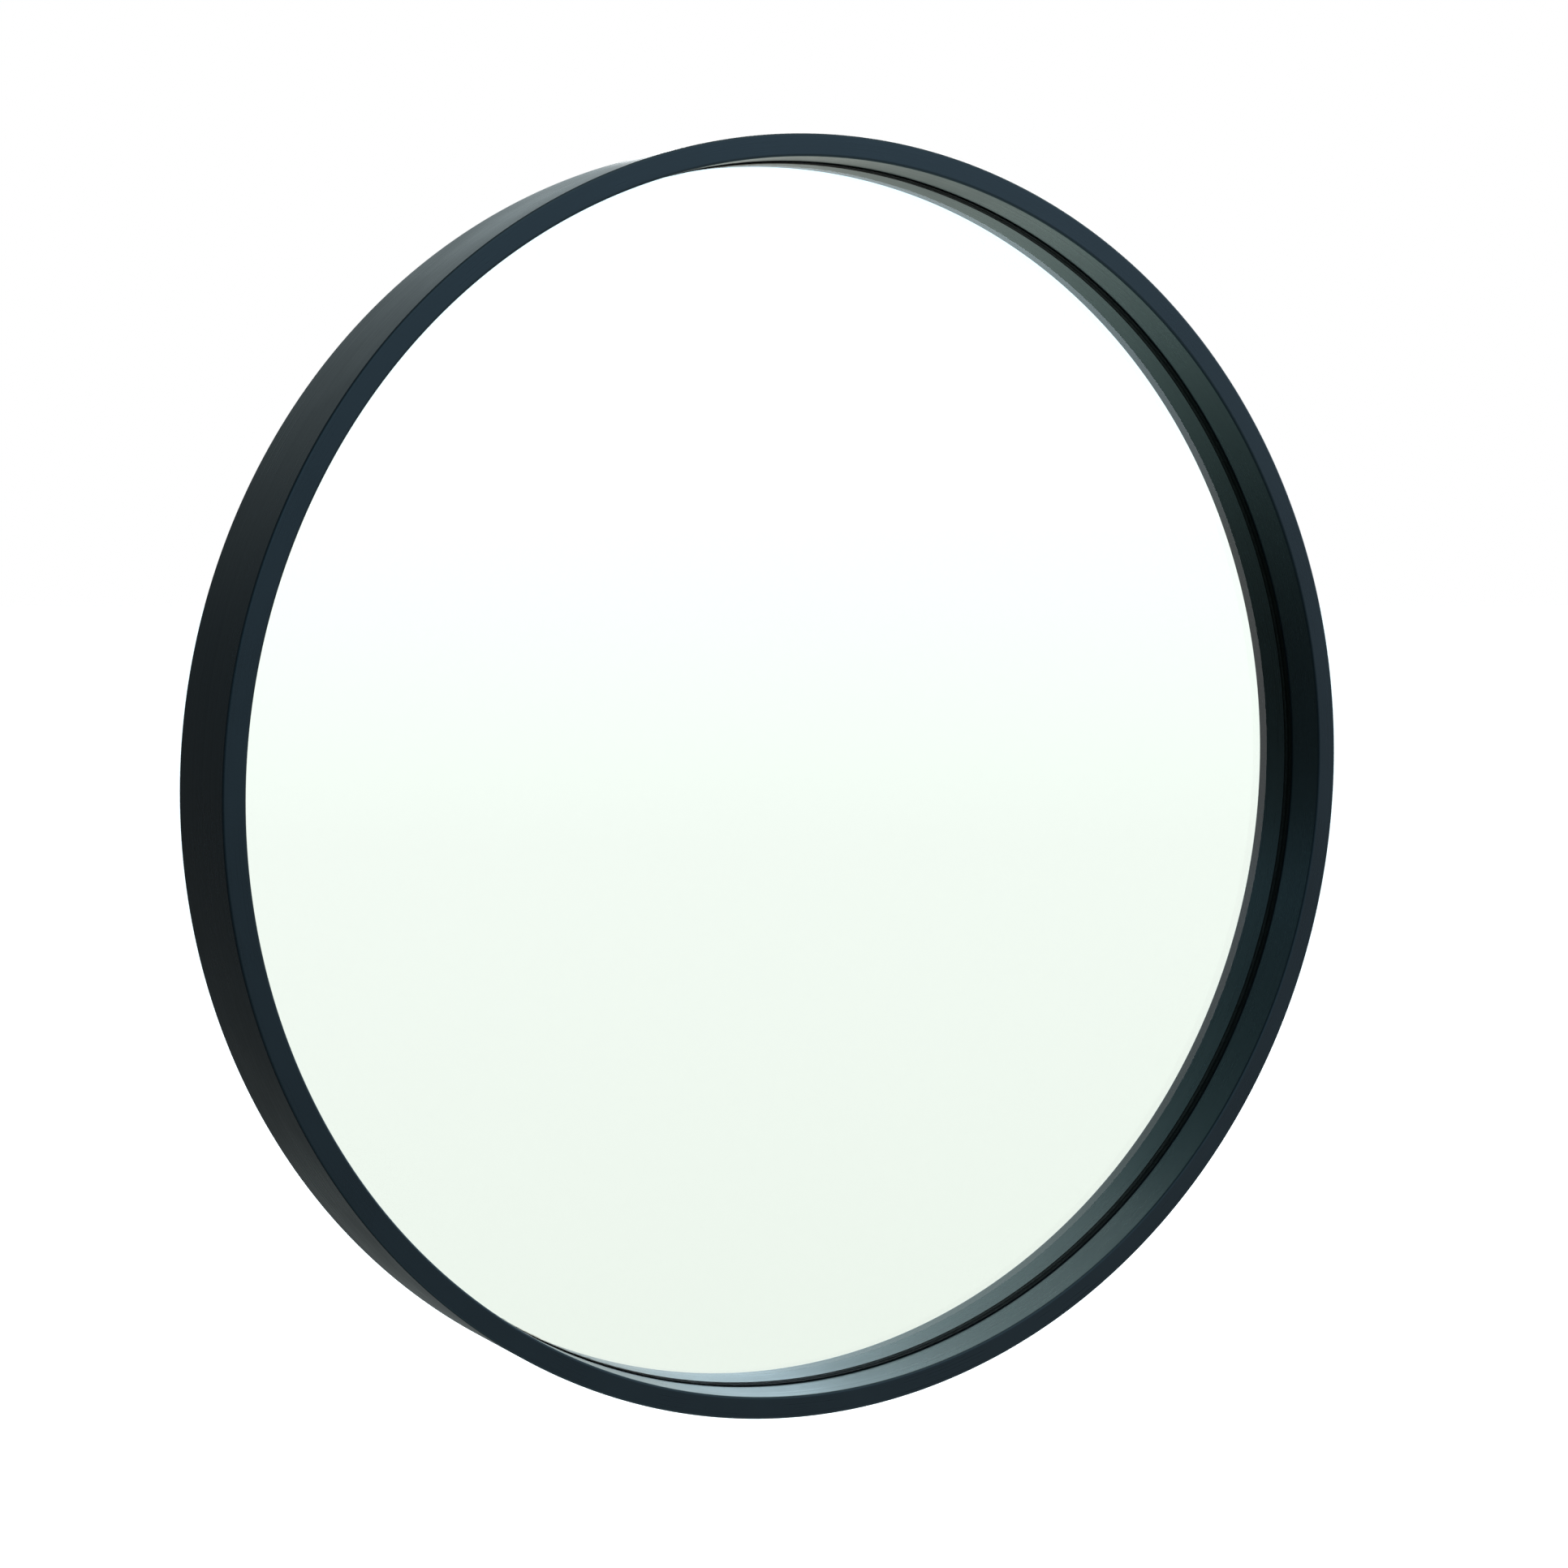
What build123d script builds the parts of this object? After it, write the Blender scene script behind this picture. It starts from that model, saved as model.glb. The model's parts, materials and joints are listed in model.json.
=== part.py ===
"""Round wall mirror: flat glass set deep in a black bentwood hoop, hung by two D-rings.

Frame: millimetres, +Z up, +X to the right of someone facing the glass, the glass faces -Y.
The origin is the centre of the hoop's rear edge, which lies on the wall.
"""

import os
from math import cos, radians, sin, sqrt

from build123d import *

# Hoop: bent from laminated veneer, lacquered black
OUTER_RADIUS = 300.0
HOOP_WALL = 10.5
HOOP_DEPTH = 55.0
FRONT_EDGE_ROUND = 1.0
REAR_EDGE_ROUND = 0.8
BORE_RADIUS = OUTER_RADIUS - HOOP_WALL

# The stack inside the hoop, from the front backwards
RECESS = 21.5
GLASS_THICKNESS = 5.0
GLASS_GAP = 0.3
GLASS_ARRIS = 0.25
SILVER_THICKNESS = 0.2
FILM_THICKNESS = 0.3
COATING_MARGIN = 0.4
TAPE_THICKNESS = 1.0
PANEL_THICKNESS = 9.0
PANEL_GAP = 0.3
PANEL_CHAMFER = 0.5

GLASS_FRONT = -HOOP_DEPTH + RECESS
GLASS_BACK = GLASS_FRONT + GLASS_THICKNESS
SILVER_BACK = GLASS_BACK + SILVER_THICKNESS
FILM_BACK = SILVER_BACK + FILM_THICKNESS
PANEL_FRONT = FILM_BACK + TAPE_THICKNESS
PANEL_BACK = PANEL_FRONT + PANEL_THICKNESS
GLASS_RADIUS = BORE_RADIUS - GLASS_GAP

# Double-sided foam tape that holds the glass to the panel
TAPE_STRIPS = 5
TAPE_WIDTH = 25.0
TAPE_PITCH = 100.0
TAPE_END_MARGIN = 25.0

# Pan-head wood screws with a cross recess
SCREW_SHANK_RADIUS = 1.5
SCREW_HEAD_RADIUS = 3.3
SCREW_HEAD_HEIGHT = 2.2
SCREW_HEAD_SIDE = 0.9
SCREW_TIP = 2.5
SCREW_LENGTH = 9.5
PILOT_CLEARANCE = 0.03
PILOT_SPARE = 0.3
RECESS_SPAN = 3.8
RECESS_SLOT = 0.9
RECESS_DEPTH = 1.3

# Steel corner braces between the panel and the hoop
BRACE_COUNT = 8
BRACE_LEG = 16.0
BRACE_WIDTH = 14.0
BRACE_SHEET = 1.5
BRACE_BEND = 1.5
BRACE_HOLE_RADIUS = 2.0
BRACE_HOLE_AT = 9.5
BRACE_CORNER = 3.0
BRACE_GAP = 0.1

# D-ring hangers: a folded steel strap that carries a wire ring. Drops are below the ring's pivot.
HANGER_X = 150.0
HANGER_Z = 160.0
STRAP_SHEET = 1.0
STRAP_WIDTH = 12.0
STRAP_LENGTH = 40.0
STRAP_END_ROUND = 4.0
STRAP_RAMP_ANGLE = 35.0
STRAP_HOLE_RADIUS = 2.0
STRAP_HOLE_DROPS = (21.0, 33.0)
WIRE_RADIUS = 1.5
PIVOT_CLEARANCE = 0.08
RING_HALF_WIDTH = 9.5
RING_CORNER = 2.5
RING_ARM = 4.0
RING_LEAN = 7.0
RING_BUTT_GAP = 0.4

LOOP_INNER = WIRE_RADIUS + PIVOT_CLEARANCE
LOOP_OUTER = LOOP_INNER + STRAP_SHEET
PIVOT_Y = PANEL_BACK + LOOP_OUTER
STRAP_STACK = 2 * STRAP_SHEET


def disc(radius, front, back, edge=0.0):
    """A round plate about the Y axis between two depths, with both rims chamfered by edge."""
    plate = Pos(0, front, 0) * extrude(Plane.XZ * Circle(radius), -(back - front))
    return chamfer(plate.edges(), edge) if edge else plate


def turned(shape, angle):
    """The shape turned about the Y axis, anticlockwise as seen by someone facing the glass."""
    return Rot(0, -angle, 0) * shape


def frame_hoop():
    """The ring, rounded at its front and rear edges and drilled from inside for the braces."""
    section = Pos(OUTER_RADIUS - HOOP_WALL / 2, -HOOP_DEPTH / 2) * Rectangle(HOOP_WALL, HOOP_DEPTH)
    hoop = revolve(section, Axis.Y)
    by_depth = hoop.edges().filter_by(GeomType.CIRCLE).group_by(Axis.Y)
    hoop = fillet(by_depth[0], FRONT_EDGE_ROUND)
    hoop = fillet(hoop.edges().filter_by(GeomType.CIRCLE).group_by(Axis.Y)[-1], REAR_EDGE_ROUND)
    _, on_hoop = brace_screw_places()
    return hoop - [turned(on_hoop * pilot_hole(), angle) for angle in brace_angles()]


def pan_screw():
    """A wood screw along -Z, with the underside of its domed head at the origin."""
    with BuildPart() as screw:
        with BuildSketch(Plane.XZ):
            with BuildLine():
                Polyline(
                    (0, SCREW_HEAD_HEIGHT),
                    (0, -SCREW_LENGTH),
                    (SCREW_SHANK_RADIUS, -SCREW_LENGTH + SCREW_TIP),
                    (SCREW_SHANK_RADIUS, 0),
                    (SCREW_HEAD_RADIUS, 0),
                    (SCREW_HEAD_RADIUS, SCREW_HEAD_SIDE),
                )
                TangentArc((0, SCREW_HEAD_HEIGHT), (SCREW_HEAD_RADIUS, SCREW_HEAD_SIDE), tangent=(1, 0))
            make_face()
        revolve(axis=Axis.Z)
    slot = Box(RECESS_SPAN, RECESS_SLOT, 2 * RECESS_DEPTH)
    cross = Pos(0, 0, SCREW_HEAD_HEIGHT) * (slot + Rot(0, 0, 90) * slot)
    return screw.part - cross


def pilot_hole():
    """What a screw needs below the underside of its head, with a drill's clearance."""
    depth = SCREW_LENGTH + PILOT_SPARE
    return Pos(0, 0, -depth / 2) * Cylinder(SCREW_SHANK_RADIUS + PILOT_CLEARANCE, depth)


def brace_angles():
    """Evenly spaced, half a step away from the vertical and the horizontal."""
    step = 360 / BRACE_COUNT
    return [step * (k + 0.5) for k in range(BRACE_COUNT)]


def brace_reach():
    """How far from the axis a brace's outer leg stands, so that its two edges meet the round bore."""
    return sqrt(BORE_RADIUS**2 - (BRACE_WIDTH / 2) ** 2) - BRACE_GAP


def corner_brace(angle):
    """An L of bent strip with rounded ends and one screw hole in each leg."""
    outer = brace_reach()
    with BuildPart() as brace:
        with BuildSketch(Plane.XY):
            with BuildLine():
                Polyline(
                    (outer - BRACE_LEG, PANEL_BACK),
                    (outer, PANEL_BACK),
                    (outer, PANEL_BACK + BRACE_LEG),
                    (outer - BRACE_SHEET, PANEL_BACK + BRACE_LEG),
                    (outer - BRACE_SHEET, PANEL_BACK + BRACE_SHEET),
                    (outer - BRACE_LEG, PANEL_BACK + BRACE_SHEET),
                    close=True,
                )
            make_face()
        extrude(amount=BRACE_WIDTH / 2, both=True)
        outer_bend = (outer, PANEL_BACK, 0)
        inner_bend = (outer - BRACE_SHEET, PANEL_BACK + BRACE_SHEET, 0)
        fillet(brace.edges().filter_by(Axis.Z).sort_by_distance(outer_bend)[0], BRACE_BEND + BRACE_SHEET)
        fillet(brace.edges().filter_by(Axis.Z).sort_by_distance(inner_bend)[0], BRACE_BEND)
        fillet(brace.edges().filter_by(Axis.Y).group_by(Axis.X)[0], BRACE_CORNER)
        fillet(brace.edges().filter_by(Axis.X).group_by(Axis.Y)[-1], BRACE_CORNER)
    hole = Cylinder(BRACE_HOLE_RADIUS, 3 * BRACE_SHEET)
    return turned(brace.part - [place * hole for place in brace_screw_places()], angle)


def brace_screw_places():
    """Where the screw heads sit on a brace at angle 0: on the panel's leg, then on the hoop's leg."""
    outer = brace_reach()
    on_panel = Pos(outer - BRACE_HOLE_AT, PANEL_BACK + BRACE_SHEET, 0) * Rot(-90, 0, 0)
    on_hoop = Pos(outer - BRACE_SHEET, PANEL_BACK + BRACE_HOLE_AT, 0) * Rot(0, -90, 0)
    return on_panel, on_hoop


def hanger_screw_places():
    spots = [(x, HANGER_Z - drop) for x in (-HANGER_X, HANGER_X) for drop in STRAP_HOLE_DROPS]
    return [Pos(x, PANEL_BACK + STRAP_STACK, z) * Rot(-90, 0, 0) for x, z in spots]


def hanger_strap(x):
    """A strip folded round the ring's bar: the loop at the top, both layers flat on the panel below it."""
    ramp = radians(STRAP_RAMP_ANGLE)
    away = (-sin(ramp), cos(ramp))
    slide = (LOOP_INNER + LOOP_INNER * cos(ramp)) / sin(ramp)
    ramp_foot = -LOOP_INNER * sin(ramp) - slide * cos(ramp)
    ramp_toe = ramp_foot - STRAP_SHEET * (1 - cos(ramp)) / sin(ramp)
    inner_start = (LOOP_INNER * away[0], LOOP_OUTER + LOOP_INNER * away[1])
    outer_start = (LOOP_OUTER * away[0], LOOP_OUTER + LOOP_OUTER * away[1])
    side = Plane(origin=(x + STRAP_WIDTH / 2, PANEL_BACK, HANGER_Z), x_dir=(0, 0, 1), z_dir=(-1, 0, 0))
    with BuildPart() as strap:
        with BuildSketch(side):
            with BuildLine():
                Polyline(
                    outer_start,
                    (ramp_toe, STRAP_STACK),
                    (-STRAP_LENGTH, STRAP_STACK),
                    (-STRAP_LENGTH, 0),
                    (0, 0),
                )
                ThreePointArc((0, 0), (LOOP_OUTER, LOOP_OUTER), outer_start)
            make_face()
            with BuildLine():
                Polyline(inner_start, (ramp_foot, STRAP_SHEET), (0, STRAP_SHEET))
                ThreePointArc((0, STRAP_SHEET), (LOOP_INNER, LOOP_OUTER), inner_start)
            make_face(mode=Mode.SUBTRACT)
        extrude(amount=STRAP_WIDTH)
        fillet(strap.edges().filter_by(Axis.Y).group_by(Axis.Z)[0], STRAP_END_ROUND)
    hole = Cylinder(STRAP_HOLE_RADIUS, 3 * STRAP_STACK)
    return strap.part - [place * hole for place in hanger_screw_places()]


def d_ring(x):
    """A wire D that hangs from its straight bar, leaning off the strap, with its butt joint in the loop."""
    half, corner, arm = RING_HALF_WIDTH, RING_CORNER, -RING_ARM
    with BuildLine(Plane.XZ) as path:
        Line((RING_BUTT_GAP / 2, 0), (half - corner, 0))
        RadiusArc((half - corner, 0), (half, -corner), corner)
        Line((half, -corner), (half, arm))
        ThreePointArc((half, arm), (0, arm - half), (-half, arm))
        Line((-half, arm), (-half, -corner))
        RadiusArc((-half, -corner), (corner - half, 0), corner)
        Line((corner - half, 0), (-RING_BUTT_GAP / 2, 0))
    wire = path.wire()
    start = Plane(origin=wire @ 0, z_dir=wire % 0)
    ring = sweep(start * Circle(WIRE_RADIUS), path=wire)
    return Pos(x, PIVOT_Y, HANGER_Z) * Rot(RING_LEAN, 0, 0) * ring


def mounting_tape(index):
    """One upright strip, as long as the round panel allows where it lies."""
    x = (index - (TAPE_STRIPS - 1) / 2) * TAPE_PITCH
    edge = abs(x) + TAPE_WIDTH / 2
    length = 2 * (sqrt(GLASS_RADIUS**2 - edge**2) - TAPE_END_MARGIN)
    return Pos(x, (FILM_BACK + PANEL_FRONT) / 2, 0) * Box(TAPE_WIDTH, TAPE_THICKNESS, length)


def back_panel():
    """The round board behind the glass, drilled for the braces and the hangers."""
    panel = disc(BORE_RADIUS - PANEL_GAP, PANEL_FRONT, PANEL_BACK, PANEL_CHAMFER)
    on_panel, _ = brace_screw_places()
    braces = [turned(on_panel * pilot_hole(), angle) for angle in brace_angles()]
    hangers = [place * pilot_hole() for place in hanger_screw_places()]
    return panel - braces - hangers


def write(name, shape):
    export_step(shape, f"parts/{name}.step")


def main():
    os.makedirs("parts", exist_ok=True)
    coating_radius = GLASS_RADIUS - COATING_MARGIN
    write("frame_hoop", frame_hoop())
    write("mirror_glass", disc(GLASS_RADIUS, GLASS_FRONT, GLASS_BACK, GLASS_ARRIS))
    write("silver_coating", disc(coating_radius, GLASS_BACK, SILVER_BACK))
    write("safety_film", disc(coating_radius, SILVER_BACK, FILM_BACK))
    write("back_panel", back_panel())
    for index in range(TAPE_STRIPS):
        write(f"mounting_tape_{index + 1}", mounting_tape(index))
    for number, angle in enumerate(brace_angles(), 1):
        write(f"corner_brace_{number}", corner_brace(angle))
    on_panel, on_hoop = brace_screw_places()
    write("brace_panel_screws", Compound([turned(on_panel * pan_screw(), a) for a in brace_angles()]))
    write("brace_hoop_screws", Compound([turned(on_hoop * pan_screw(), a) for a in brace_angles()]))
    write("hanger_screws", Compound([place * pan_screw() for place in hanger_screw_places()]))
    for side, x in ("left", -HANGER_X), ("right", HANGER_X):
        write(f"{side}_hanger_strap", hanger_strap(x))
        write(f"{side}_d_ring", d_ring(x))


main()
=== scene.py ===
"""Looks of the round wall mirror: materials, glass, studio and camera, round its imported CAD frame."""

import json
from math import cos, pi, radians, sin

import bpy
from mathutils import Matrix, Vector


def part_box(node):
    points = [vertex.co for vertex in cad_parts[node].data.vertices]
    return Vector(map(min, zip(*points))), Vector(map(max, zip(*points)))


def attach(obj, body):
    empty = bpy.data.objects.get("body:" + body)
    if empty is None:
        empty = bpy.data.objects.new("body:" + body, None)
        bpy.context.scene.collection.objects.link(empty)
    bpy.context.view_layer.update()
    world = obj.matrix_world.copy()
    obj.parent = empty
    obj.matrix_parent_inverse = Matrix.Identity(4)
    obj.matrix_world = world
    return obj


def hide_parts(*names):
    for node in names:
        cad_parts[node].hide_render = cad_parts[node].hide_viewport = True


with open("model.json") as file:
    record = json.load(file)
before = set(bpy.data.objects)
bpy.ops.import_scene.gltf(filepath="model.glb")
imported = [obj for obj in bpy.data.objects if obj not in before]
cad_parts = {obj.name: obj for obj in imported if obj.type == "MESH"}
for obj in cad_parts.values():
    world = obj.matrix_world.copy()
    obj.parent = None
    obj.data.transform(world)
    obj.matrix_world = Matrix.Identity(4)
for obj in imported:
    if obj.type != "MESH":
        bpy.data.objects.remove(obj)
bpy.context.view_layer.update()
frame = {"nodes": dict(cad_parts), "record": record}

MM = 0.001

# Places read from the frame
HOOP_LOW, HOOP_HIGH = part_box("frame_hoop")
OUTER_RADIUS = HOOP_HIGH.x
FRONT_Y = HOOP_LOW.y
REAR_Y = HOOP_HIGH.y
GLASS_LOW, GLASS_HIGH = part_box("mirror_glass")
GLASS_RADIUS = GLASS_HIGH.x
SILVER_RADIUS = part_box("silver_coating")[1].x

# The hoop's section, as in the CAD model
GLASS_GAP = 0.3 * MM
FRONT_ROUND = 1.0 * MM
REAR_ROUND = 0.8 * MM

# How many steps a turned piece has all the way round
TURN_STEPS = 360

# Most of a noise's values lie between these two
NOISE_LOW = 0.3
NOISE_HIGH = 0.7

# The camera, solved from the ellipses in the photograph. Its distance and its aim are in outer radii
CAMERA_AZIMUTH = radians(30.96)
CAMERA_ELEVATION = radians(4.68)
CAMERA_DISTANCE = 4.813
CAMERA_AIM = (-0.0941, 0, 0.0045)
LENS = 70.86
SENSOR_WIDTH = 36.0

# The studio's light in front of the mirror and behind it, by height from -1 (straight down) to 1, and by
# side from -1 (hard left) to 1. A side's stops scale the light that the height's stops give
FRONT_HEIGHTS = (
    (-1.0, (2.1, 2.5, 2.5)),
    (-0.55, (1.5, 1.8, 1.8)),
    (-0.36, (1.15, 1.23, 1.21)),
    (-0.3, (0.98, 0.98, 0.96)),
    (-0.1, (1.06, 1.05, 1.05)),
    (0.0, (1.18, 1.19, 1.2)),
    (0.08, (2.4, 2.8, 3.2)),
    (0.17, (4.0, 4.9, 6.0)),
    (0.27, (2.6, 3.1, 3.6)),
    (0.45, (2.0, 2.5, 2.7)),
    (0.6, (1.9, 2.4, 2.6)),
    (0.8, (1.4, 1.7, 1.8)),
    (1.0, (1.3, 1.6, 1.7)),
)
BACK_HEIGHTS = (
    (-1.0, (0.3, 0.33, 0.33)),
    (-0.5, (0.36, 0.4, 0.4)),
    (-0.1, (0.43, 0.46, 0.46)),
    (0.12, (0.48, 0.56, 0.59)),
    (0.35, (0.95, 1.1, 1.14)),
    (1.0, (0.95, 1.1, 1.14)),
)
FRONT_SIDES = (
    (-1.0, (0.1, 0.14, 0.14)),
    (-0.5, (0.22, 0.28, 0.28)),
    (-0.1, (0.66, 0.76, 0.76)),
    (0.15, (0.94, 0.98, 0.98)),
    (0.3, (1.0, 1.0, 1.0)),
    (1.0, (1.0, 1.0, 1.0)),
)
BACK_SIDES = (
    (-1.0, (0.1, 0.11, 0.11)),
    (-0.36, (0.18, 0.19, 0.19)),
    (-0.2, (0.24, 0.25, 0.25)),
    (0.0, (0.44, 0.46, 0.46)),
    (0.3, (0.8, 0.82, 0.82)),
    (0.45, (1.1, 1.1, 1.1)),
    (1.0, (1.1, 1.1, 1.1)),
)


# ---- Node trees ----------------------------------------------------------------------------------

def feed(tree, socket, value):
    """Sets an input to a value, or links it when the value is another node's socket."""
    if isinstance(value, bpy.types.NodeSocket):
        tree.links.new(value, socket)
    else:
        socket.default_value = value


def add_node(tree, kind, inputs=None, **settings):
    """Adds a shader node, with its settings made and then its inputs fed."""
    node = tree.nodes.new(kind)
    for name, value in settings.items():
        setattr(node, name, value)
    for key, value in (inputs or {}).items():
        feed(tree, node.inputs[key], value)
    return node


def feed_shader(tree, shader, **inputs):
    """Feeds a shader's inputs by name, with _ for each space."""
    for name, value in inputs.items():
        feed(tree, shader.inputs[name.replace("_", " ")], value)


def principled(name, **inputs):
    """A new material with its Principled shader's inputs set. Returns it with its tree and that shader."""
    material = bpy.data.materials.new(name)
    material.use_nodes = True
    tree = material.node_tree
    shader = tree.nodes["Principled BSDF"]
    feed_shader(tree, shader, **inputs)
    return material, tree, shader


def grey(level):
    return (level, level, level, 1)


def place(tree):
    """Where a point is on the object, in metres."""
    return add_node(tree, "ShaderNodeTexCoord").outputs["Object"]


def work_out(tree, operation, *values):
    """The result of one arithmetic operation."""
    node = add_node(tree, "ShaderNodeMath", operation=operation)
    for socket, value in zip(node.inputs, values):
        feed(tree, socket, value)
    return node.outputs[0]


def noise(tree, vector, size, detail=3.0, roughness=0.55):
    """Noise from 0 to 1 whose lumps are about size metres across."""
    inputs = {"Vector": vector, "Scale": 1 / size, "Detail": detail, "Roughness": roughness}
    return add_node(tree, "ShaderNodeTexNoise", inputs).outputs["Fac"]


def stretched(tree, vector, scale):
    """The same places, scaled along each axis. A scale under 1 draws a noise out along that axis."""
    return add_node(tree, "ShaderNodeMapping", {"Vector": vector, "Scale": scale}).outputs[0]


def remap(tree, value, low, high, to_low, to_high):
    """Takes low to to_low and high to to_high, and holds everything outside them."""
    inputs = {"Value": value, "From Min": low, "From Max": high, "To Min": to_low, "To Max": to_high}
    return add_node(tree, "ShaderNodeMapRange", inputs).outputs["Result"]


def spread(tree, value, to_low, to_high):
    """A noise spread over the room between two values."""
    return remap(tree, value, NOISE_LOW, NOISE_HIGH, to_low, to_high)


def rise(tree, value, start, full, amount=1.0):
    """Nothing up to start, then rising to amount at full."""
    return remap(tree, value, start, full, 0.0, amount)


def blend_colours(tree, factor, first, second, blend_type="MIX"):
    """The first colour where factor is 0 and the second where it is 1, or their product for MULTIPLY."""
    node = add_node(tree, "ShaderNodeMix", data_type="RGBA", blend_type=blend_type)
    # The node has sockets for each kind of data. Of these, colours use inputs 0, 6 and 7 and output 2
    for index, value in ((0, factor), (6, first), (7, second)):
        feed(tree, node.inputs[index], value)
    return node.outputs[2]


def multiply(tree, first, second):
    return blend_colours(tree, 1.0, first, second, blend_type="MULTIPLY")


def bump(tree, height, distance, normal=None):
    """Surface relief: height 0 to 1 stands for up to distance metres, over any relief given as normal."""
    inputs = {"Height": height, "Distance": distance, "Strength": 1.0}
    if normal is not None:
        inputs["Normal"] = normal
    return add_node(tree, "ShaderNodeBump", inputs).outputs["Normal"]


def round_the_axis(tree):
    """A point's distance from the mirror's axis and its depth, both the same all the way round."""
    x, y, z = add_node(tree, "ShaderNodeSeparateXYZ", {"Vector": place(tree)}).outputs
    squares = work_out(tree, "ADD", work_out(tree, "MULTIPLY", x, x), work_out(tree, "MULTIPLY", z, z))
    return work_out(tree, "SQRT", squares), y


# ---- Materials -----------------------------------------------------------------------------------

def black_lacquer():
    """Satin black over bent veneer: the grain runs round the hoop and just shows, with orange peel."""
    # The cool tint of the reflections is painted light: it stands in for the cool cast of the studio's
    # light
    material, tree, shader = principled(
        "black_lacquer", IOR=1.5, Specular_IOR_Level=0.15, Specular_Tint=(0.62, 0.88, 1.0, 1)
    )
    relief_height = 0.012 * MM
    spot = place(tree)
    radius, depth = round_the_axis(tree)
    # Without a slow drift the grain's lines would be perfect circles
    drift = work_out(tree, "MULTIPLY", noise(tree, spot, size=160 * MM, detail=1.0), 4 * MM)
    across = add_node(tree, "ShaderNodeCombineXYZ", {"X": radius, "Y": depth, "Z": drift}).outputs[0]
    grain = noise(tree, across, size=1.1 * MM, detail=4.0, roughness=0.6)
    peel = noise(tree, spot, size=1.7 * MM, detail=2.0)
    patches = noise(tree, spot, size=50 * MM)
    grain_relief = bump(tree, grain, relief_height)
    relief = bump(tree, peel, relief_height, normal=grain_relief)
    gloss = work_out(tree, "ADD", spread(tree, grain, -0.03, 0.03), spread(tree, patches, 0.26, 0.33))
    colour = blend_colours(tree, patches, (0.002, 0.0035, 0.005, 1), (0.0035, 0.0055, 0.0075, 1))
    feed_shader(tree, shader, Base_Color=colour, Roughness=gloss, Normal=relief)
    return material


def float_glass():
    """Clear polished glass with the faint green of its iron."""
    material, tree, _ = principled(
        "float_glass", IOR=1.52, Transmission_Weight=1.0, Roughness=0.0, Base_Color=grey(1)
    )
    inputs = {"Color": (0.084, 0.761, 0.215, 1), "Density": 12.0}
    green = add_node(tree, "ShaderNodeVolumeAbsorption", inputs).outputs[0]
    feed(tree, tree.nodes["Material Output"].inputs["Volume"], green)
    return material


def edge_paint_and_painted_shade():
    """Dark paint brushed over the ground edge of the glass, partly painted shade: it stands in for the
    shaded gap by the hoop.
    """
    material, tree, shader = principled("edge_paint_and_painted_shade", Specular_IOR_Level=0.05)
    grit = noise(tree, place(tree), size=0.5 * MM, detail=4.0)
    # Painted shade in part: the near-black edge darkens the line where the glass meets the hoop
    colour = blend_colours(tree, grit, grey(0.0008), grey(0.003))
    relief = bump(tree, grit, 0.05 * MM)
    feed_shader(tree, shader, Base_Color=colour, Roughness=spread(tree, grit, 0.6, 0.85), Normal=relief)
    return material


def silvering():
    """Silver seen through the glass, a little darker and mottled along its cut edge: partly the silver's
    own edge wear, partly painted shade.
    """
    material, tree, shader = principled("silvering", Metallic=1.0, Roughness=0.0)
    edge_wear_and_shade_band = 0.5 * MM
    raggedness = 0.3 * MM
    radius, _ = round_the_axis(tree)
    nibbles = spread(tree, noise(tree, place(tree), size=4 * MM), -raggedness, raggedness)
    ragged_radius = work_out(tree, "ADD", radius, nibbles)
    edge = rise(tree, ragged_radius, SILVER_RADIUS - edge_wear_and_shade_band, SILVER_RADIUS)
    # The darker edge is partly painted shade: it widens the dark line where the glass meets the hoop
    colour = blend_colours(tree, edge, (0.955, 0.96, 0.955, 1), (0.5, 0.5, 0.48, 1))
    feed_shader(tree, shader, Base_Color=colour)
    return material


def woven_film():
    """Grey-white safety film, with the weave of its threads."""
    material, tree, shader = principled("woven_film", Roughness=0.5)
    thread_pitch = 1.6 * MM
    phase_per_metre = 2 * pi / thread_pitch
    x, _, z = add_node(tree, "ShaderNodeSeparateXYZ", {"Vector": place(tree)}).outputs
    warp = work_out(tree, "SINE", work_out(tree, "MULTIPLY", x, phase_per_metre))
    weft = work_out(tree, "SINE", work_out(tree, "MULTIPLY", z, phase_per_metre))
    weave = remap(tree, work_out(tree, "MULTIPLY", warp, weft), -1.0, 1.0, 0.0, 1.0)
    colour = blend_colours(tree, weave, (0.5, 0.53, 0.55, 1), (0.68, 0.71, 0.73, 1))
    feed_shader(tree, shader, Base_Color=colour, Normal=bump(tree, weave, 0.1 * MM))
    return material


def foam_tape():
    """White closed-cell foam."""
    material, tree, shader = principled("foam_tape", Roughness=0.8)
    cells = noise(tree, place(tree), size=0.6 * MM, detail=2.0)
    colour = blend_colours(tree, cells, (0.62, 0.62, 0.59, 1), (0.8, 0.8, 0.78, 1))
    feed_shader(tree, shader, Base_Color=colour, Normal=bump(tree, cells, 0.08 * MM))
    return material


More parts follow.
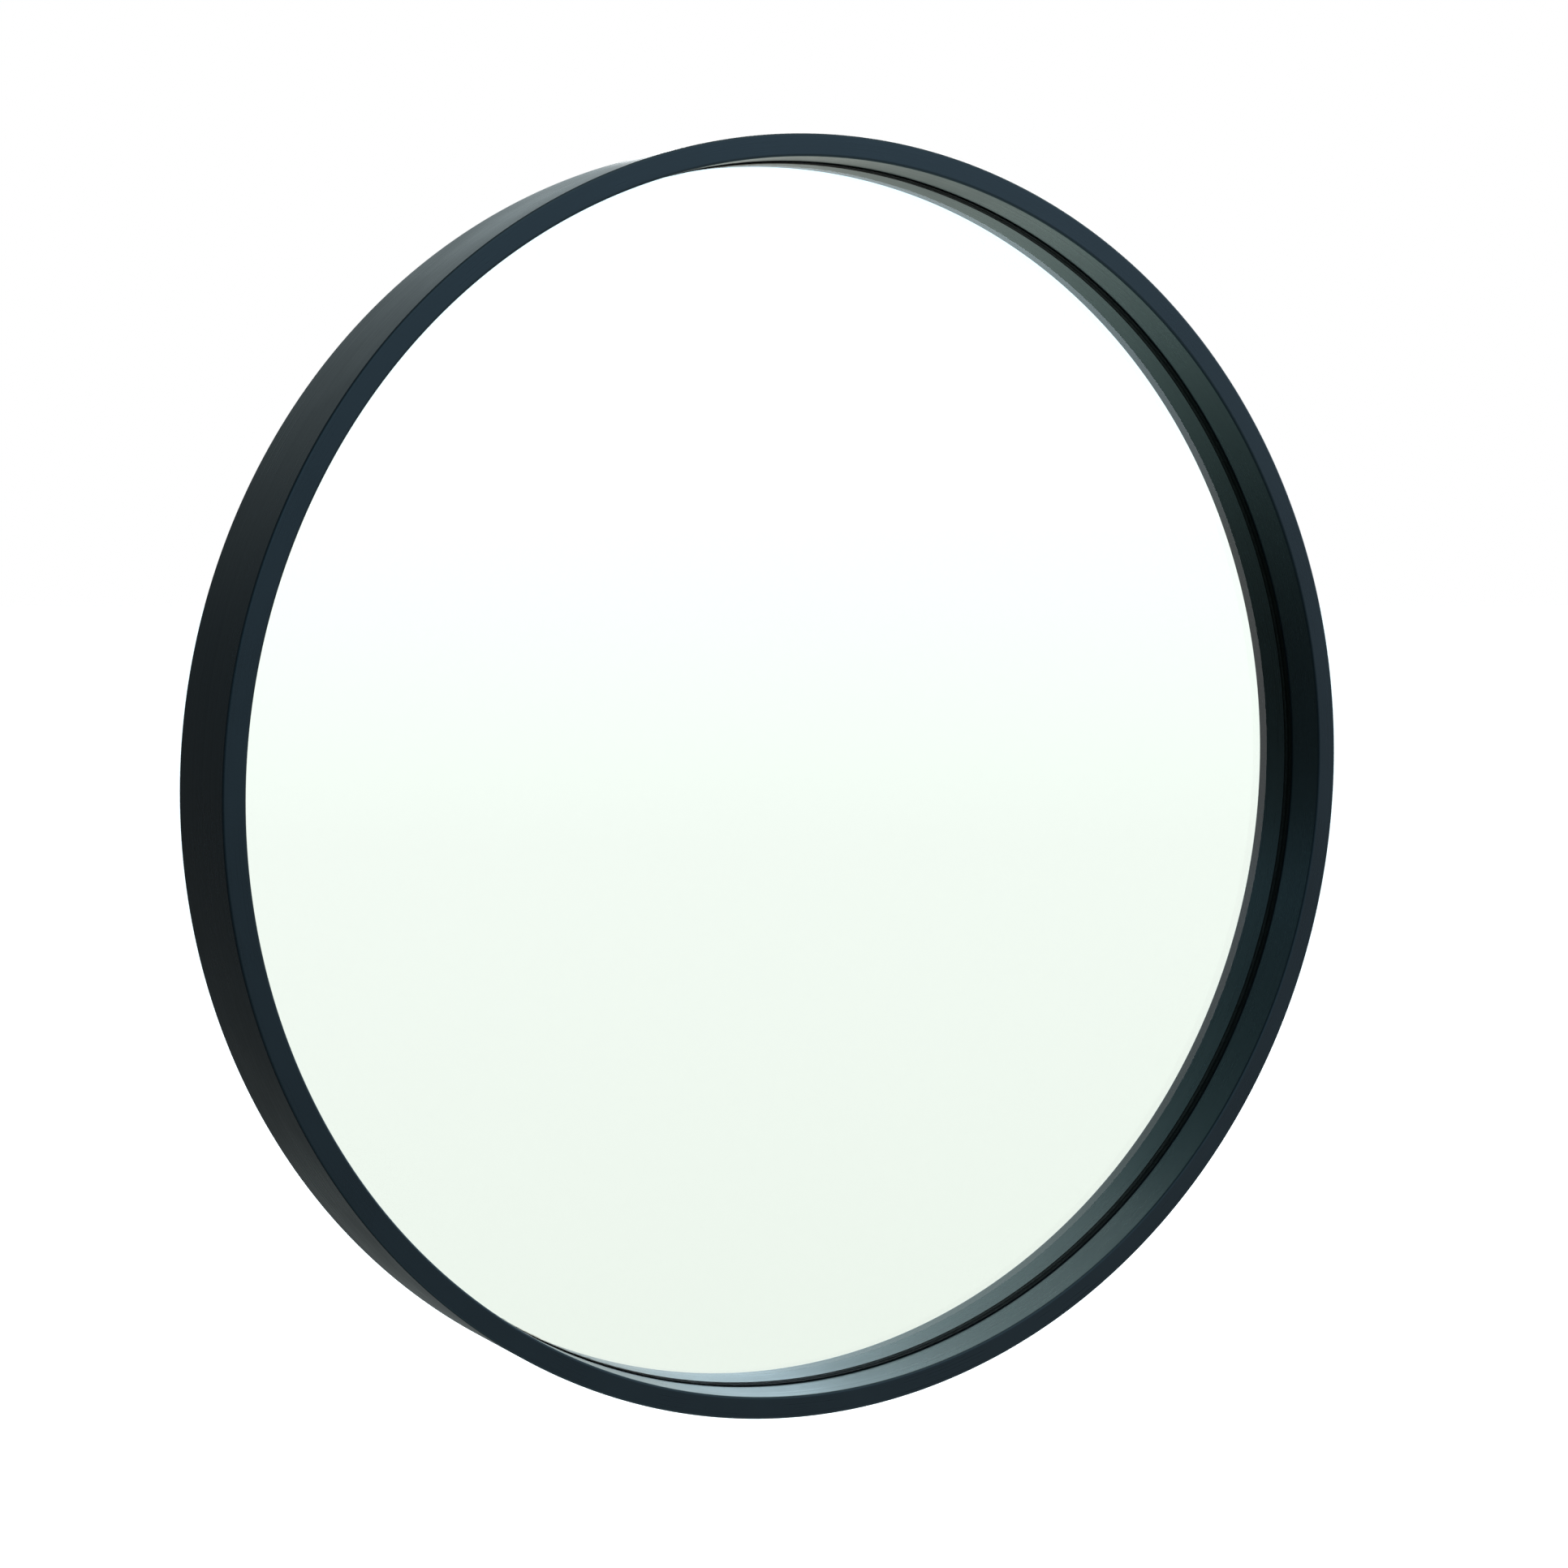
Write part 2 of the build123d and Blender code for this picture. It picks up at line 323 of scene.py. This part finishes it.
def fibreboard():
    """Raw fibreboard: pale fibre bundles and bark specks in a sanded, blotchy brown ground."""
    material, tree, shader = principled("fibreboard", Specular_IOR_Level=0.25)
    spot = place(tree)
    blotches = rise(tree, noise(tree, spot, size=70 * MM, detail=4.0), 0.35, 0.65)
    ground = blend_colours(tree, blotches, (0.235, 0.135, 0.066, 1), (0.32, 0.195, 0.105, 1))
    fibres = noise(tree, spot, size=1.1 * MM, detail=6.0, roughness=0.75)
    pale_fibres = rise(tree, fibres, 0.4, 0.66, amount=0.8)
    fibred = blend_colours(tree, pale_fibres, ground, (0.44, 0.3, 0.175, 1))
    bundles = noise(tree, spot, size=4.2 * MM, detail=5.0, roughness=0.7)
    pale_bundles = rise(tree, bundles, 0.6, 0.72, amount=0.7)
    bundled = blend_colours(tree, pale_bundles, fibred, (0.5, 0.36, 0.22, 1))
    bark_spacing = 5 * MM
    bark = add_node(tree, "ShaderNodeTexVoronoi", {"Vector": spot, "Scale": 1 / bark_spacing})
    specks = remap(tree, bark.outputs["Distance"], 0.04, 0.13, 0.75, 0.0)
    colour = blend_colours(tree, specks, bundled, (0.11, 0.06, 0.032, 1))
    sanding = noise(tree, stretched(tree, spot, (0.03, 1, 1)), size=0.7 * MM, detail=2.0)
    sanded = bump(tree, sanding, 0.03 * MM)
    relief = bump(tree, fibres, 0.07 * MM, normal=sanded)
    feed_shader(tree, shader, Base_Color=colour, Roughness=spread(tree, fibres, 0.7, 0.86), Normal=relief)
    return material


def plated_steel(name, light, dark, gloss, scratch_size):
    """Bright plating with rolling streaks and fine scratches, in clouds that are glossiest where light."""
    material, tree, shader = principled(name, Metallic=1.0)
    haze = 0.14
    spot = place(tree)
    clouds = rise(tree, noise(tree, spot, size=5 * MM, detail=5.0, roughness=0.7), 0.35, 0.65)
    streaks = noise(tree, stretched(tree, spot, (1, 1, 0.05)), size=0.4 * MM)
    scratches = noise(tree, spot, size=scratch_size, detail=5.0, roughness=0.75)
    clouded = blend_colours(tree, clouds, (*dark, 1), (*light, 1))
    colour = multiply(tree, clouded, remap(tree, streaks, 0.35, 0.65, 0.82, 1.0))
    roughness = remap(tree, clouds, 0.0, 1.0, gloss + haze, gloss)
    streaked = bump(tree, streaks, 0.006 * MM)
    relief = bump(tree, scratches, 0.01 * MM, normal=streaked)
    feed_shader(tree, shader, Base_Color=colour, Roughness=roughness, Normal=relief)
    return material


def studio_floor():
    """A pale even sweep, bright enough to run into the white behind it."""
    material, tree, shader = principled(
        "studio_floor",
        Roughness=0.9,
        Specular_IOR_Level=0.1,
        Emission_Color=(1, 0.96, 0.96, 1),
        Emission_Strength=0.3,
    )
    mottle = noise(tree, place(tree), size=0.4, detail=2.0)
    colour = blend_colours(tree, mottle, (0.88, 0.87, 0.87, 1), (0.9, 0.89, 0.89, 1))
    feed_shader(tree, shader, Base_Color=colour)
    return material


# ---- Pieces --------------------------------------------------------------------------------------

def lathe(name, profile):
    """A closed solid turned about the Y axis from (radius, depth) points. Radius 0 closes an end."""
    turns = [2 * pi * k / TURN_STEPS for k in range(TURN_STEPS)]
    vertices = []
    rings = []
    for radius, depth in profile:
        if radius == 0:
            rings.append([len(vertices)] * TURN_STEPS)
            vertices.append((0, depth, 0))
        else:
            rings.append([len(vertices) + k for k in range(TURN_STEPS)])
            vertices += [(radius * cos(t), depth, radius * sin(t)) for t in turns]
    # A profile that starts on the axis ends on it too. Any other runs back to its first point
    ends_on_axis = profile[0][0] == 0
    next_rings = rings[1:] if ends_on_axis else rings[1:] + rings[:1]
    faces = []
    for near, far in zip(rings, next_rings):
        for k in range(TURN_STEPS):
            after = (k + 1) % TURN_STEPS
            corners = [near[k], far[k], far[after], near[after]]
            # A corner on the axis comes twice, and is kept once
            faces.append(list(dict.fromkeys(corners)))
    mesh = bpy.data.meshes.new(name)
    mesh.from_pydata(vertices, [], faces)
    mesh.update()
    piece = bpy.data.objects.new(name, mesh)
    bpy.context.scene.collection.objects.link(piece)
    return piece


def hoop_profile():
    """The hoop's section: an arc at each edge, and a point just off its ends to keep the flats flat."""
    arc_steps = 8
    guard = 0.3 * MM
    bore = GLASS_RADIUS + GLASS_GAP
    arcs = (
        (bore + FRONT_ROUND, FRONT_Y + FRONT_ROUND, FRONT_ROUND),
        (OUTER_RADIUS - FRONT_ROUND, FRONT_Y + FRONT_ROUND, FRONT_ROUND),
        (OUTER_RADIUS - REAR_ROUND, REAR_Y - REAR_ROUND, REAR_ROUND),
        (bore + REAR_ROUND, REAR_Y - REAR_ROUND, REAR_ROUND),
    )
    profile = []
    for quarter, (radius, depth, edge) in enumerate(arcs):
        turns = [pi + (quarter + step / arc_steps) * pi / 2 for step in range(arc_steps + 1)]
        arc = [(radius + edge * cos(t), depth + edge * sin(t)) for t in turns]
        before = (arc[0][0] + guard * sin(turns[0]), arc[0][1] - guard * cos(turns[0]))
        after = (arc[-1][0] - guard * sin(turns[-1]), arc[-1][1] + guard * cos(turns[-1]))
        profile += [before, *arc, after]
    return profile


def fine_hoop():
    """The hoop turned finely enough that its rounded edges mirror cleanly in the glass."""
    hoop = lathe("fine_hoop", hoop_profile())
    hoop.data.shade_smooth()
    hoop.data.materials.append(black_lacquer())
    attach(hoop, "mirror")
    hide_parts("frame_hoop")


def glass_pane():
    """The glass as a fine turned disc with ground edges, its back a hair off the silvering."""
    arris = 0.25 * MM
    off_silver = 0.03 * MM
    front = GLASS_LOW.y
    back = GLASS_HIGH.y - off_silver
    profile = [
        (0, front),
        (GLASS_RADIUS - arris, front),
        (GLASS_RADIUS, front + arris),
        (GLASS_RADIUS, back - arris),
        (GLASS_RADIUS - arris, back),
        (0, back),
    ]
    pane = lathe("glass_pane", profile)
    # The two faces have the first material. The edge and its two arrises have the second
    pane.data.materials.append(float_glass())
    pane.data.materials.append(edge_paint_and_painted_shade())
    squarely_facing = 0.9
    for face in pane.data.polygons:
        face.material_index = int(abs(face.normal.y) < squarely_facing)
    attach(pane, "mirror")
    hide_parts("mirror_glass")


def dress_all():
    """Gives each CAD node that shows as it is the material of its slot."""
    by_slot = {
        "silvering": silvering(),
        "safety_film": woven_film(),
        "foam_tape": foam_tape(),
        "fibreboard": fibreboard(),
        "zinc_plate": plated_steel(
            "zinc_plate", (0.8, 0.81, 0.82), (0.58, 0.6, 0.63), gloss=0.27, scratch_size=0.8 * MM
        ),
        "screw_steel": plated_steel(
            "screw_steel", (0.74, 0.74, 0.75), (0.5, 0.5, 0.52), gloss=0.2, scratch_size=0.5 * MM
        ),
        "nickel_wire": plated_steel(
            "nickel_wire", (0.76, 0.73, 0.68), (0.6, 0.57, 0.52), gloss=0.14, scratch_size=0.6 * MM
        ),
    }
    for part in frame["record"]["subparts"]:
        material = by_slot.get(part["material_slot"])
        if material is None:
            continue
        for slot in frame["nodes"][part["node"]].material_slots:
            slot.material = material


# ---- Studio --------------------------------------------------------------------------------------

def floor():
    """A round floor below the mirror. It shows in no reflection and through no glass."""
    drop = 0.32
    reach = 30.0
    steps = 64
    level = HOOP_LOW.z - drop
    turns = [2 * pi * k / steps for k in range(steps)]
    rim = [(reach * cos(t), reach * sin(t), level) for t in turns]
    mesh = bpy.data.meshes.new("floor")
    mesh.from_pydata(rim, [], [list(range(steps))])
    ground = bpy.data.objects.new("floor", mesh)
    bpy.context.scene.collection.objects.link(ground)
    ground.data.materials.append(studio_floor())
    ground.visible_glossy = False
    ground.visible_transmission = False


def softbox(name, place_at, side, power):
    """A square lamp that faces the middle of the mirror."""
    lamp = bpy.data.lights.new(name, "AREA")
    lamp.shape = "SQUARE"
    lamp.size = side
    lamp.energy = power
    box = bpy.data.objects.new(name, lamp)
    box.location = place_at
    box.rotation_euler = (-Vector(place_at)).to_track_quat("-Z", "Y").to_euler()
    bpy.context.scene.collection.objects.link(box)


def ramp(tree, value, stops):
    """A smooth colour ramp. Each stop is a place from -1 to 1 and a colour."""
    node = add_node(tree, "ShaderNodeValToRGB", {"Fac": remap(tree, value, -1.0, 1.0, 0.0, 1.0)})
    steps = node.color_ramp.elements
    # The new steps start in the middle, and are moved to their own places below
    while len(steps) < len(stops):
        steps.new(0.5)
    for step, (at, colour) in zip(steps, stops):
        step.position = (at + 1) / 2
        step.color = (*colour, 1)
    return node.outputs["Color"]


def surroundings():
    """A pale studio. Its light is strongest just above level in front, and dim to the left and behind.

    The camera sees plain white instead.
    """
    world = bpy.data.worlds.new("studio")
    bpy.context.scene.world = world
    world.use_nodes = True
    tree = world.node_tree
    tree.nodes.clear()
    # The front's light turns into the back's over this much to either side of the mirror's plane
    turnover = 0.4
    way = add_node(tree, "ShaderNodeTexCoord").outputs["Generated"]
    across, depth, up = add_node(tree, "ShaderNodeSeparateXYZ", {"Vector": way}).outputs
    front = multiply(tree, ramp(tree, up, FRONT_HEIGHTS), ramp(tree, across, FRONT_SIDES))
    back = multiply(tree, ramp(tree, up, BACK_HEIGHTS), ramp(tree, across, BACK_SIDES))
    behind = rise(tree, depth, -turnover, turnover)
    lit = add_node(tree, "ShaderNodeBackground", {"Color": blend_colours(tree, behind, front, back)})
    seen = add_node(tree, "ShaderNodeBackground", {"Color": grey(1), "Strength": 1.0})
    direct = add_node(tree, "ShaderNodeLightPath").outputs["Is Camera Ray"]
    both = add_node(tree, "ShaderNodeMixShader", {0: direct, 1: lit.outputs[0], 2: seen.outputs[0]})
    add_node(tree, "ShaderNodeOutputWorld", {"Surface": both.outputs[0]})


def camera():
    """To the left of the mirror and a little above it, measured from the middle of its front edge."""
    distance = CAMERA_DISTANCE * OUTER_RADIUS
    centre = Vector((0, FRONT_Y, 0))
    aim = centre + Vector(CAMERA_AIM) * OUTER_RADIUS
    level_reach = cos(CAMERA_ELEVATION)
    way_back = Vector((
        -sin(CAMERA_AZIMUTH) * level_reach,
        -cos(CAMERA_AZIMUTH) * level_reach,
        sin(CAMERA_ELEVATION),
    ))
    lens = bpy.data.cameras.new("camera")
    lens.lens = LENS
    lens.sensor_width = SENSOR_WIDTH
    eye = bpy.data.objects.new("camera", lens)
    eye.location = centre + way_back * distance
    eye.rotation_euler = (aim - eye.location).to_track_quat("-Z", "Y").to_euler()
    bpy.context.scene.collection.objects.link(eye)
    bpy.context.scene.camera = eye


def light_settings():
    """How colours are shown, and how Cycles follows light."""
    scene = bpy.context.scene
    scene.view_settings.view_transform = "Standard"
    # The dark lacquer passes on little of each light path, and looks grainy when its paths are cut short
    scene.cycles.min_light_bounces = 6
    # The mirror shows light brighter than white. Held just over white, it leaves edges beside it smooth
    scene.cycles.sample_clamp_indirect = 1.15


fine_hoop()
glass_pane()
dress_all()
floor()
# The first softbox is above and in front, and the second lights the back
softbox("overhead", place_at=(0.6, -1.6, 2.4), side=2.4, power=30.0)
softbox("behind", place_at=(1.7, 2.2, 1.3), side=1.4, power=45.0)
surroundings()
camera()
light_settings()
